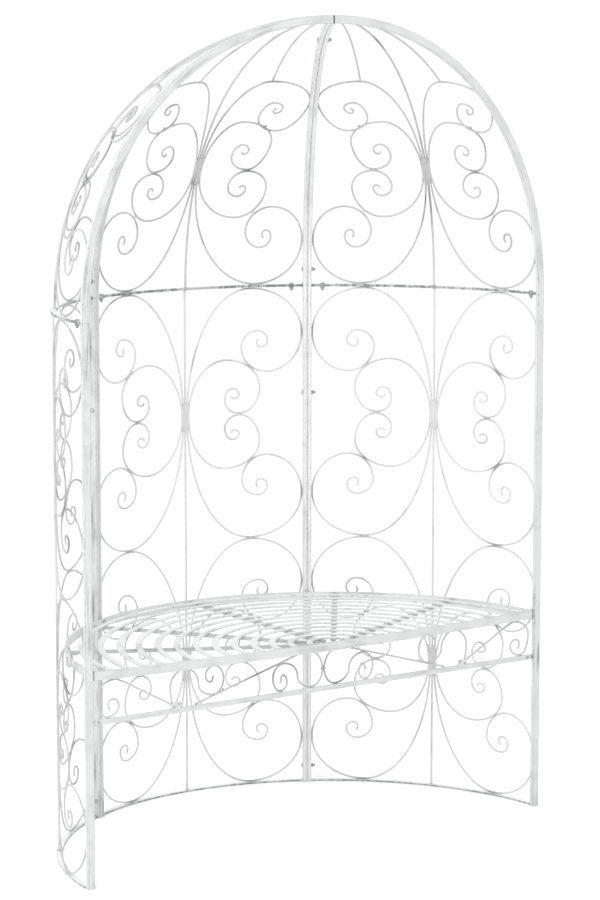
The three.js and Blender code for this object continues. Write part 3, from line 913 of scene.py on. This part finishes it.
class PAVILION_OT_apron(PieceOperator, bpy.types.Operator):
    """The bar under the seat's front and the scrolls and braces between them"""

    bl_idname = "pavilion.apron"
    bl_label = "Apron"

    def build(self):
        s = sizes()
        work = Metalwork()
        middle = APRON_BOTTOM + APRON_TALL / 2
        points = [placed(Vector((x, APRON_Y, middle))) for x in spread(-RAIL_REACH, RAIL_REACH, 60)]
        work.sweep(points, Vector((0, 1, 0)), UP, box_profile(0.004, APRON_TALL, 0.0008, 0.0006, 2))
        work.piece("apron_bar", bar_paint(), ["apron_bottom_bar"])
        low = (APRON_BOTTOM + APRON_TALL) * 1000 + 0.3 + s.rod * 500
        high = (s.seat_top - RAIL_TALL) * 1000 - 0.3 - s.rod * 500
        for word, side in (("right", 1), ("left", -1)):
            def put(turns):
                return millimetres([(side * x, y) for x, y in turns])

            middle = s.rod * 500 + 0.15
            brace = [(383 + (510 - 383) * i / 20, low + (434 - low) * i / 20) for i in range(20)]
            end = put([*brace, (510, 434)]) + curl(put([(531, high), (577, 413), (554, low), (525, 386), (539, 401),
                                                        (551, 393), (546, 380)]), False, 0.002)
            ess = curl(put([(384, low), (397, 407), (361, high), (326, 406), (288, 379), (262, 410), (286, high - 2),
                            (308, 423), (296, 407), (289, 420)]), False, 0.002)
            centre = curl(put([(114, 382), (107, 399), (97, 380), (115, low), (134, 394), (105, 424), (69, 392),
                               (31, low), (middle, 400), (40, high)]), True, 0.002)
            long_brace = [(58 + (332 - 58) * i / 30, high - 1 + (low - high + 1) * i / 30) for i in range(31)]
            centre += put(long_brace)
            work = Metalwork()
            for outline in (end, ess, centre):
                points, outs, sides = rod_path(outline, on_apron)
                work.sweep(points, outs, sides, round_profile(s.rod))
            for i, (x, y) in enumerate(((383, low), (288, 378), (554, low - 1), (115, low - 1), (31, low - 1),
                                        (332, low), (4, 400), (531, high + 1), (361, high + 1), (263, 386))):
                point, out = on_apron(side * x / 1000, y / 1000)
                work.bead(point, 0.0062, i * 1.3 + side, out)
            work.piece(f"apron_scrolls_{word}", dome_rod_paint(), [f"apron_scrollwork_{word}"])


def bolt_piece(name, head_seat, axis, grip, replaced=()):
    """A cup head with its rim, a shank, a chamfered hex nut and a threaded tail."""
    work = Metalwork()
    head = [(0, 0.0030, 0.4), (0.0018, 0.00285, 0.4), (0.0034, 0.0023, 0.5), (0.0046, 0.0015, 0.8),
            (0.0054, 0.0007, 1), (0.0054, 0.0, 1), (0, 0.0, 0)]
    work.turned(head, head_seat + axis * GAP, axis, 28)
    shank = [(0, 0, 0), (0.00295, 0.0, 0), (0.00295, -grip - 0.0009, 0), (0, -grip - 0.0009, 0)]
    work.turned(shank, head_seat + axis * GAP, axis, 18)
    seat = head_seat - axis * (grip + 0.0006)
    work.turned([(0, 0, 0), (0.0049, 0, 0.8), (0.0049, -0.0005, 0.8), (0, -0.0005, 0)], seat, axis, 28)
    nut = [(0, -0.0006, 0), (0.0043, -0.0006, 0.6), (0.00495, -0.0011, 1), (0.00495, -0.0043, 1),
           (0.0043, -0.0049, 0.8), (0, -0.0049, 0)]
    work.turned(nut, seat, axis, 6, 0.4)
    tail, pitch = [(0, -0.0048, 0)], 0.0005
    for i in range(8):
        tail.append((0.0029, -0.0048 - i * pitch, 0.9))
        tail.append((0.0026, -0.0048 - (i + 0.5) * pitch, 0.0))
    tail.append((0.0, -0.0048 - 8 * pitch, 0))
    work.turned(tail, seat, axis, 18)
    work.piece(name, bolt_zinc(), replaced)


class PAVILION_OT_bolts(PieceOperator, bpy.types.Operator):
    """Cup-head bolts through the seams, the ring bars and the bench, and the apron's rivets and tabs"""

    bl_idname = "pavilion.bolts"
    bl_label = "Bolts"

    def build(self):
        s = sizes()
        grip = 2 * s.tube_across + GAP
        for edge, word in ((1, "right"), (2, "left")):
            radial, across = radial_at(edge_angle(edge)), across_at(edge_angle(edge))
            spots = [(f"seam_screw_{level}", s.radius, height, [f"{word}_seam_bolt_{level}"])
                     for level, height in SEAM_BOLT_HEIGHTS]
            for name, rise, replaced in (("seam_screw_dome", DOME_BOLT_RISE, [f"{word}_seam_bolt_dome"]),
                                         ("crown_screw", CROWN_BOLT_RISE, [])):
                away, high, _, _ = dome_spot(rise)
                spots.append((name, away, dome_foot() + high, replaced))
            for name, radius, height, replaced in spots:
                bolt_piece(f"{word}_{name}", at_height(radial * radius, height) + across * (grip / 2), across, grip,
                           replaced)
        trim = (tube_shift() + s.tube_across / 2 + GAP) / (RING_RADIUS - RING_WIDE / 2) + RING_BOLT_OFFSET / s.radius
        for panel, name in enumerate(PANELS):
            for word, angle in (("first", edge_angle(panel) + trim), ("last", edge_angle(panel + 1) - trim)):
                bolt_piece(f"{name}_ring_screw_{word}",
                           at_height(radial_at(angle) * RING_RADIUS, dome_foot() + RING_THICK), UP,
                           2 * RING_THICK + GAP, [f"{name}_ring_bolt_{word}"])
        for word, edge, side in (("right", 1, 1), ("left", 2, -1)):
            out = radial_at(edge_angle(edge))
            inner = SEAT_RING_RADIUS - RAIL_THICK / 2 - 0.001
            spot = out * inner + across_at(edge_angle(edge)) * (side * tube_shift())
            bolt_piece(f"{word}_bench_screw", at_height(spot, s.seat_top - RAIL_TALL / 2), -out,
                       s.radius + s.tube_deep / 2 - inner, [f"{word}_seat_bolt"])
        rivet = [(0, 0.0024, 0.4), (0.0016, 0.0021, 0.5), (0.0028, 0.0012, 0.9), (0.0032, 0, 1),
                 (0.0032, -0.0008, 1), (0, -0.0030, 0)]
        for word, side in (("right", 1), ("left", -1)):
            work = Metalwork()
            for x, z in ((0.3775, 0.3706), (0.3905, 0.3645), (0.5745, 0.3555)):
                work.turned(rivet, placed(Vector((side * x, APRON_Y - 0.0032, z))), Vector((0, -1, 0)), 20)
            work.piece(f"apron_screws_{word}", bolt_zinc())
            work = Metalwork()
            tab = box_profile(0.0260, 0.0016, 0.0005, 0.0004, 2)
            points = [placed(Vector((side * 0.3840, APRON_Y - 0.0028, z))) for z in spread(0.3575, 0.3740, 6)]
            work.sweep(points, Vector((1, 0, 0)), Vector((0, -1, 0)), tab)
            work.piece(f"apron_tab_{word}", bar_paint())


class PAVILION_OT_welds(PieceOperator, bpy.types.Operator):
    """Small welds where bars meet tubes"""

    bl_idname = "pavilion.welds"
    bl_label = "Joint welds"

    def build(self):
        s = sizes()
        work = Metalwork()
        seed = 0.0
        for panel in range(3):
            for edge, inward in ((panel, 1), (panel + 1, -1)):
                radial, across = radial_at(edge_angle(edge)), across_at(edge_angle(edge))
                for height in (RING_THICK, s.wall_height - RING_THICK, dome_foot() + RING_THICK):
                    for shift in (-0.004, 0.0, 0.004):
                        seed += 0.61
                        spot = radial * (RING_RADIUS + shift) + across * (inward * (tube_shift() + s.tube_across / 2))
                        work.bead(at_height(spot, height), 0.0036, seed)
            middle = edge_angle(panel) + s.panel_span / 2
            for height in (RING_THICK, s.wall_height - RING_THICK, dome_foot() + RING_THICK):
                spot = radial_at(middle) * (ROD_RADIUS if height < s.wall_height else s.radius)
                seed += 0.61
                work.bead(at_height(spot, height), 0.0080, seed, UP)
        for side in (-1, 1):
            for height in (s.seat_top - 0.004, s.seat_top - RAIL_TALL + 0.002, 0.3535):
                for shift in (0.0, 0.004):
                    seed += 0.61
                    work.bead(placed(Vector((side * 0.5885, 0.0365 + shift * 0.5, height + shift))), 0.0050, seed)
        work.piece("joint_welds", bar_paint())


class PAVILION_OT_stage(PieceOperator, bpy.types.Operator):
    """Plain floor, soft light and the camera"""

    bl_idname = "pavilion.stage"
    bl_label = "Stage"

    def build(self):
        scene = bpy.context.scene
        mesh = bpy.data.meshes.new("studio_floor")
        size = 30.0
        low = CAD_BOX[0][2] - 0.0005
        steps = 24
        verts = [(size * (2 * i / steps - 1), size * (2 * j / steps - 1), low)
                 for j in range(steps + 1) for i in range(steps + 1)]
        row = steps + 1
        faces = [(j * row + i, j * row + i + 1, (j + 1) * row + i + 1, (j + 1) * row + i)
                 for j in range(steps) for i in range(steps)]
        mesh.from_pydata(verts, [], faces)
        mesh.materials.append(floor_material())
        floor = bpy.data.objects.new("studio_floor", mesh)
        scene.collection.objects.link(floor)

        world = bpy.data.worlds.new("soft_studio")
        world.use_nodes = True
        tree = world.node_tree
        background = tree.nodes["Background"]
        background.inputs["Color"].default_value = (1.0, 1.0, 1.0, 1)
        background.inputs["Strength"].default_value = 1.05
        scene.world = world
        scene.view_settings.view_transform = "Standard"

        for name, place, aim, wide, power in (
                ("window_key", (-3.6, -1.6, 3.6), (0, 0, 0.9), 1.6, 90),
                ("front_fill", (3.6, -3.6, 2.4), (0, 0, 0.8), 3.0, 14)):
            lamp = bpy.data.lights.new(name, "AREA")
            lamp.shape = "SQUARE"
            lamp.size = wide
            lamp.energy = power
            obj = bpy.data.objects.new(name, lamp)
            obj.location = place
            obj.rotation_euler = (Vector(aim) - Vector(place)).to_track_quat("-Z", "Y").to_euler()
            scene.collection.objects.link(obj)

        azimuth, pitch = math.radians(34.4117), math.radians(8.1312)
        right = Vector((math.cos(azimuth), -math.sin(azimuth), 0))
        back = Vector((math.sin(azimuth), math.cos(azimuth), 0))
        spot = right * -0.07284 + UP * 1.79784 - back * 6.3462
        camera = bpy.data.cameras.new("camera")
        camera.sensor_width = 36
        camera.lens = 118.12
        camera.clip_end = 100
        view = bpy.data.objects.new("camera", camera)
        view.location = placed(spot)
        view.rotation_euler = (math.pi / 2 - pitch, 0, -azimuth)
        scene.collection.objects.link(view)
        scene.camera = view


class PAVILION_PT_pieces(bpy.types.Panel):
    """Lists the pavilion's sizes, finishes and pieces"""

    bl_idname = "PAVILION_PT_pieces"
    bl_label = "Garden pavilion"
    bl_space_type = "VIEW_3D"
    bl_region_type = "UI"
    bl_category = "Pavilion"

    def draw(self, context):
        layout = self.layout
        for group in (context.scene.pavilion_sizes, context.scene.pavilion_finish):
            column = layout.box().column()
            for key in group.__annotations__:
                column.prop(group, key)
        column = layout.column()
        for operator in BUILD_ORDER:
            column.operator(operator.bl_idname)


BUILD_ORDER = (
    PAVILION_OT_stage, PAVILION_OT_uprights, PAVILION_OT_ribs, PAVILION_OT_plugs, PAVILION_OT_ring_bars,
    PAVILION_OT_middle_rods, PAVILION_OT_wall_scrolls, PAVILION_OT_dome_scrolls, PAVILION_OT_bench,
    PAVILION_OT_apron, PAVILION_OT_bolts, PAVILION_OT_welds,
)
CLASSES = (PavilionSizes, PavilionFinish, *BUILD_ORDER, PAVILION_PT_pieces)


def register():
    for cls in CLASSES:
        bpy.utils.register_class(cls)
    bpy.types.Scene.pavilion_sizes = bpy.props.PointerProperty(type=PavilionSizes)
    bpy.types.Scene.pavilion_finish = bpy.props.PointerProperty(type=PavilionFinish)


def unregister():
    del bpy.types.Scene.pavilion_finish
    del bpy.types.Scene.pavilion_sizes
    for cls in reversed(CLASSES):
        bpy.utils.unregister_class(cls)


def main():
    register()
    bpy.ops.pavilion.stage()
    bpy.ops.pavilion.uprights()
    bpy.ops.pavilion.ribs()
    bpy.ops.pavilion.plugs()
    bpy.ops.pavilion.ring_bars()
    bpy.ops.pavilion.middle_rods()
    bpy.ops.pavilion.wall_scrolls()
    bpy.ops.pavilion.dome_scrolls()
    bpy.ops.pavilion.bench()
    bpy.ops.pavilion.apron()
    bpy.ops.pavilion.bolts()
    bpy.ops.pavilion.welds()


if __name__ == "__main__":
    main()
